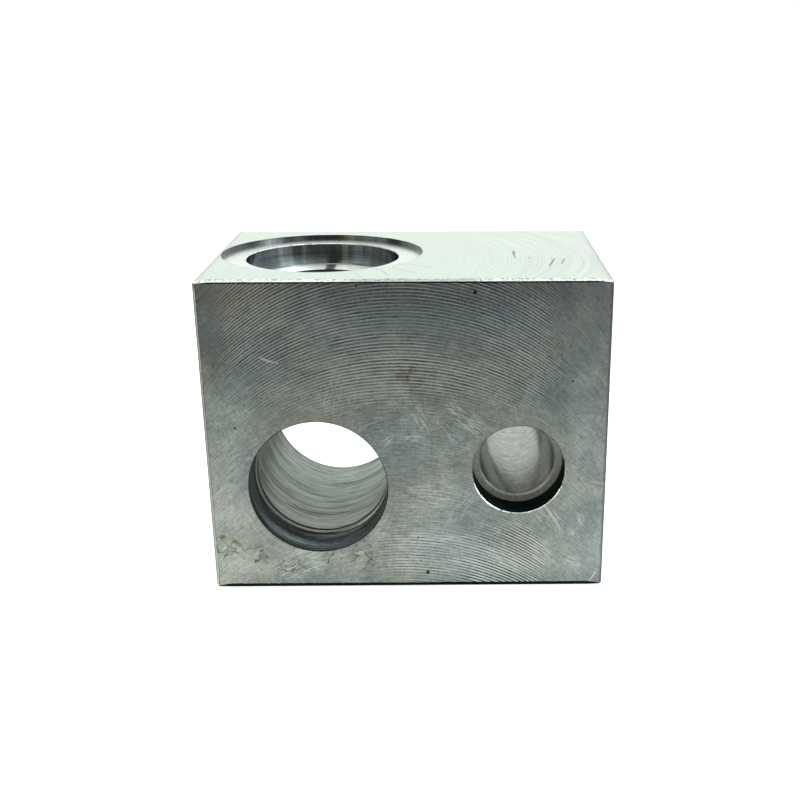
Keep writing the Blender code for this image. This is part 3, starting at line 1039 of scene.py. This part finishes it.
def build_plugs():
    shell_steel, ball_steel = plug_shell_material(), plug_ball_material()
    for side, y in GALLERY_Y.items():
        parts = {"shell": (plug_shell(y), shell_steel), "ball": (plug_ball(y), ball_steel)}
        for part, (piece, material) in parts.items():
            piece.name = f"{side}_plug_{part}"
            smooth(piece)
            piece.data.materials.append(material)
            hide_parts(f"{side}_gallery_plug_{part}")
            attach(piece, "root")


# ---------------------------------------------------------------- studio

def glowing(name, colour):
    """A card that gives off light."""
    graph = Graph(name)
    graph.nodes.remove(graph.shader)
    graph.shader = graph.nodes.new("ShaderNodeEmission")
    graph.shader.inputs["Color"].default_value = (*colour, 1.0)
    output = graph.nodes["Material Output"]
    graph.links.new(graph.shader.outputs[0], output.inputs["Surface"])
    return graph


def ground_glow():
    """The floor as polished faces mirror it: lit round the block and dim further out."""
    graph = glowing("ground_glow", (0.95, 1.0, 0.96))
    out_x = graph.largest(abs(graph.x) - WIDTH / 2.0, 0.0)
    out_y = graph.largest(abs(graph.y) - DEPTH / 2.0, 0.0)
    fall = graph.math("EXPONENT", graph.hypot(out_x, out_y) * (-1.0 / 0.15))
    graph.feed(graph.shader.inputs["Strength"], 0.15 + fall * 0.5)
    return graph.material


def stage_mesh(name, points, faces, material):
    mesh = bpy.data.meshes.new(name)
    mesh.from_pydata(points, [], faces)
    mesh.materials.append(material)
    card = bpy.data.objects.new(name, mesh)
    bpy.context.scene.collection.objects.link(card)
    return card


def reflected_card(name, points, faces, material):
    """A card that polished faces mirror, as a studio's flags and strips are: itself out of view."""
    card = stage_mesh(name, points, faces, material)
    card.visible_camera = False
    card.visible_diffuse = False
    card.visible_shadow = False


def arc_card(name, start, end, radius, height, material):
    """An upright card bent round the block. Its angles are from the front, towards the right."""
    steps = max(1, int((end - start) / 5.0))
    points = []
    for step in range(steps + 1):
        turn = math.radians(start + (end - start) * step / steps)
        across, out = radius * math.sin(turn), -radius * math.cos(turn)
        points += [(across, out, 0.0), (across, out, height)]
    faces = [(2 * step, 2 * step + 2, 2 * step + 3, 2 * step + 1) for step in range(steps)]
    reflected_card(name, points, faces, material)


def build_studio():
    floor_material = bpy.data.materials.new("pale_floor")
    floor_material.use_nodes = True
    shader = floor_material.node_tree.nodes["Principled BSDF"]
    shader.inputs["Base Color"].default_value = (0.90, 0.91, 0.91, 1.0)
    shader.inputs["Roughness"].default_value = 0.9
    shader.inputs["Emission Color"].default_value = (1.0, 1.0, 1.0, 1.0)
    shader.inputs["Emission Strength"].default_value = FLOOR_GLOW
    square = [(FLOOR_REACH * x, FLOOR_REACH * y, FLOOR_Z)
              for x, y in ((-1, -1), (1, -1), (1, 1), (-1, 1))]
    floor = stage_mesh("floor", square, [(0, 1, 2, 3)], floor_material)
    floor.visible_glossy = False
    reflected_card("lit_ground", square, [(0, 1, 2, 3)], ground_glow())

    room = glowing("dark_room", (0.80, 1.0, 1.0))
    room.shader.inputs["Strength"].default_value = ROOM_GLOW
    arc_card("dark_room", -ROOM_END, ROOM_END, ROOM_RADIUS, ROOM_HEIGHT, room.material)
    for start, end, colour, strength in ROOM_LIGHTS:
        lit = glowing("room_light", colour)
        lit.shader.inputs["Strength"].default_value = strength
        arc_card("room_light", start, end, ROOM_RADIUS * 0.97, ROOM_HEIGHT, lit.material)

    world = bpy.data.worlds.new("studio")
    bpy.context.scene.world = world
    world.use_nodes = True
    sky = world.node_tree.nodes["Background"]
    sky.inputs["Color"].default_value = SKY_COLOUR
    sky.inputs["Strength"].default_value = SKY_STRENGTH


def place_camera():
    lens = bpy.data.cameras.new("camera")
    lens.lens = CAMERA_LENS
    lens.sensor_width = CAMERA_SENSOR
    lens.shift_x = CAMERA_SHIFT_X
    lens.shift_y = CAMERA_SHIFT_Y
    lens.clip_start = 0.01
    lens.clip_end = 50.0
    camera = bpy.data.objects.new("camera", lens)
    camera.location = CAMERA_PLACE
    camera.rotation_euler = [math.radians(value) for value in CAMERA_TURN]
    bpy.context.scene.collection.objects.link(camera)
    bpy.context.scene.camera = camera


build_body()
build_plugs()
build_studio()
place_camera()
bpy.context.scene.view_settings.view_transform = "Standard"
bpy.context.view_layer.update()
